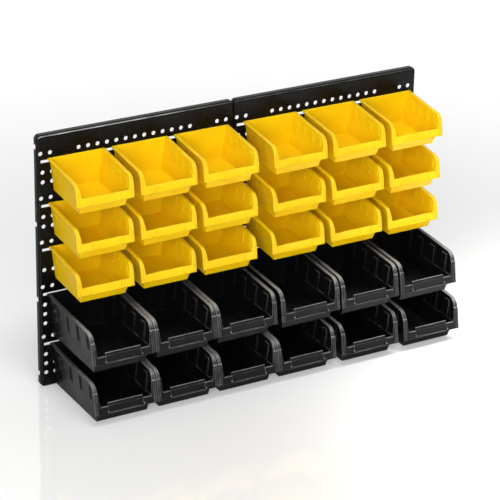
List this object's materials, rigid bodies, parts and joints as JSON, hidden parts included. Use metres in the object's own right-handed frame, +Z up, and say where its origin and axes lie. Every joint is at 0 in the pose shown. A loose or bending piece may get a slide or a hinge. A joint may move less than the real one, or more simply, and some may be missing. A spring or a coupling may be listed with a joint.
{
  "type": "wall-mounted bin rack",
  "caption": "Perforated steel wall panels carrying rows of small yellow and large black open-front plastic bins that hang in slots and lift off.",
  "frame": {"origin": "on the panels' front face, in the middle of the four outer wall screws", "axes": "+X to the right along the panels, +Y into the wall, +Z up"},
  "size_m": [0.652, 0.1656, 0.406],
  "materials": {
    "panel_steel": "black powder coat",
    "zinc": "bright zinc",
    "yellow_plastic": "semi-gloss moulded",
    "black_plastic": "satin moulded"
  },
  "bodies": {
    "rack": {"left_panel": "panel_steel", "right_panel": "panel_steel", "joining_bolts": "zinc", "joining_nuts": "zinc"},
    "small_bin_1_1": {"small_bin_1_1": "yellow_plastic"},
    "small_bin_1_2": {"small_bin_1_2": "yellow_plastic"},
    "small_bin_1_3": {"small_bin_1_3": "yellow_plastic"},
    "small_bin_1_4": {"small_bin_1_4": "yellow_plastic"},
    "small_bin_1_5": {"small_bin_1_5": "yellow_plastic"},
    "small_bin_1_6": {"small_bin_1_6": "yellow_plastic"},
    "small_bin_2_1": {"small_bin_2_1": "yellow_plastic"},
    "small_bin_2_2": {"small_bin_2_2": "yellow_plastic"},
    "small_bin_2_3": {"small_bin_2_3": "yellow_plastic"},
    "small_bin_2_4": {"small_bin_2_4": "yellow_plastic"},
    "small_bin_2_5": {"small_bin_2_5": "yellow_plastic"},
    "small_bin_2_6": {"small_bin_2_6": "yellow_plastic"},
    "small_bin_3_1": {"small_bin_3_1": "yellow_plastic"},
    "small_bin_3_2": {"small_bin_3_2": "yellow_plastic"},
    "small_bin_3_3": {"small_bin_3_3": "yellow_plastic"},
    "small_bin_3_4": {"small_bin_3_4": "yellow_plastic"},
    "small_bin_3_5": {"small_bin_3_5": "yellow_plastic"},
    "small_bin_3_6": {"small_bin_3_6": "yellow_plastic"},
    "large_bin_4_1": {"large_bin_4_1": "black_plastic"},
    "large_bin_4_2": {"large_bin_4_2": "black_plastic"},
    "large_bin_4_3": {"large_bin_4_3": "black_plastic"},
    "large_bin_4_4": {"large_bin_4_4": "black_plastic"},
    "large_bin_4_5": {"large_bin_4_5": "black_plastic"},
    "large_bin_4_6": {"large_bin_4_6": "black_plastic"},
    "large_bin_5_1": {"large_bin_5_1": "black_plastic"},
    "large_bin_5_2": {"large_bin_5_2": "black_plastic"},
    "large_bin_5_3": {"large_bin_5_3": "black_plastic"},
    "large_bin_5_4": {"large_bin_5_4": "black_plastic"},
    "large_bin_5_5": {"large_bin_5_5": "black_plastic"},
    "large_bin_5_6": {"large_bin_5_6": "black_plastic"}
  },
  "joints": [
    {"name": "small_bin_1_1_lift", "type": "slide", "parent": "rack", "child": "small_bin_1_1", "axis": [0, -0.9063, 0.4226], "range_m": [0, 0.022]},
    {"name": "small_bin_1_2_lift", "type": "slide", "parent": "rack", "child": "small_bin_1_2", "axis": [0, -0.9063, 0.4226], "range_m": [0, 0.022]},
    {"name": "small_bin_1_3_lift", "type": "slide", "parent": "rack", "child": "small_bin_1_3", "axis": [0, -0.9063, 0.4226], "range_m": [0, 0.022]},
    {"name": "small_bin_1_4_lift", "type": "slide", "parent": "rack", "child": "small_bin_1_4", "axis": [0, -0.9063, 0.4226], "range_m": [0, 0.022]},
    {"name": "small_bin_1_5_lift", "type": "slide", "parent": "rack", "child": "small_bin_1_5", "axis": [0, -0.9063, 0.4226], "range_m": [0, 0.022]},
    {"name": "small_bin_1_6_lift", "type": "slide", "parent": "rack", "child": "small_bin_1_6", "axis": [0, -0.9063, 0.4226], "range_m": [0, 0.022]},
    {"name": "small_bin_2_1_lift", "type": "slide", "parent": "rack", "child": "small_bin_2_1", "axis": [0, -0.9063, 0.4226], "range_m": [0, 0.022]},
    {"name": "small_bin_2_2_lift", "type": "slide", "parent": "rack", "child": "small_bin_2_2", "axis": [0, -0.9063, 0.4226], "range_m": [0, 0.022]},
    {"name": "small_bin_2_3_lift", "type": "slide", "parent": "rack", "child": "small_bin_2_3", "axis": [0, -0.9063, 0.4226], "range_m": [0, 0.022]},
    {"name": "small_bin_2_4_lift", "type": "slide", "parent": "rack", "child": "small_bin_2_4", "axis": [0, -0.9063, 0.4226], "range_m": [0, 0.022]},
    {"name": "small_bin_2_5_lift", "type": "slide", "parent": "rack", "child": "small_bin_2_5", "axis": [0, -0.9063, 0.4226], "range_m": [0, 0.022]},
    {"name": "small_bin_2_6_lift", "type": "slide", "parent": "rack", "child": "small_bin_2_6", "axis": [0, -0.9063, 0.4226], "range_m": [0, 0.022]},
    {"name": "small_bin_3_1_lift", "type": "slide", "parent": "rack", "child": "small_bin_3_1", "axis": [0, -0.9063, 0.4226], "range_m": [0, 0.022]},
    {"name": "small_bin_3_2_lift", "type": "slide", "parent": "rack", "child": "small_bin_3_2", "axis": [0, -0.9063, 0.4226], "range_m": [0, 0.022]},
    {"name": "small_bin_3_3_lift", "type": "slide", "parent": "rack", "child": "small_bin_3_3", "axis": [0, -0.9063, 0.4226], "range_m": [0, 0.022]},
    {"name": "small_bin_3_4_lift", "type": "slide", "parent": "rack", "child": "small_bin_3_4", "axis": [0, -0.9063, 0.4226], "range_m": [0, 0.022]},
    {"name": "small_bin_3_5_lift", "type": "slide", "parent": "rack", "child": "small_bin_3_5", "axis": [0, -0.9063, 0.4226], "range_m": [0, 0.022]},
    {"name": "small_bin_3_6_lift", "type": "slide", "parent": "rack", "child": "small_bin_3_6", "axis": [0, -0.9063, 0.4226], "range_m": [0, 0.022]},
    {"name": "large_bin_4_1_lift", "type": "slide", "parent": "rack", "child": "large_bin_4_1", "axis": [0, -0.9063, 0.4226], "range_m": [0, 0.022]},
    {"name": "large_bin_4_2_lift", "type": "slide", "parent": "rack", "child": "large_bin_4_2", "axis": [0, -0.9063, 0.4226], "range_m": [0, 0.022]},
    {"name": "large_bin_4_3_lift", "type": "slide", "parent": "rack", "child": "large_bin_4_3", "axis": [0, -0.9063, 0.4226], "range_m": [0, 0.022]},
    {"name": "large_bin_4_4_lift", "type": "slide", "parent": "rack", "child": "large_bin_4_4", "axis": [0, -0.9063, 0.4226], "range_m": [0, 0.022]},
    {"name": "large_bin_4_5_lift", "type": "slide", "parent": "rack", "child": "large_bin_4_5", "axis": [0, -0.9063, 0.4226], "range_m": [0, 0.022]},
    {"name": "large_bin_4_6_lift", "type": "slide", "parent": "rack", "child": "large_bin_4_6", "axis": [0, -0.9063, 0.4226], "range_m": [0, 0.022]},
    {"name": "large_bin_5_1_lift", "type": "slide", "parent": "rack", "child": "large_bin_5_1", "axis": [0, -0.9063, 0.4226], "range_m": [0, 0.022]},
    {"name": "large_bin_5_2_lift", "type": "slide", "parent": "rack", "child": "large_bin_5_2", "axis": [0, -0.9063, 0.4226], "range_m": [0, 0.022]},
    {"name": "large_bin_5_3_lift", "type": "slide", "parent": "rack", "child": "large_bin_5_3", "axis": [0, -0.9063, 0.4226], "range_m": [0, 0.022]},
    {"name": "large_bin_5_4_lift", "type": "slide", "parent": "rack", "child": "large_bin_5_4", "axis": [0, -0.9063, 0.4226], "range_m": [0, 0.022]},
    {"name": "large_bin_5_5_lift", "type": "slide", "parent": "rack", "child": "large_bin_5_5", "axis": [0, -0.9063, 0.4226], "range_m": [0, 0.022]},
    {"name": "large_bin_5_6_lift", "type": "slide", "parent": "rack", "child": "large_bin_5_6", "axis": [0, -0.9063, 0.4226], "range_m": [0, 0.022]}
  ]
}
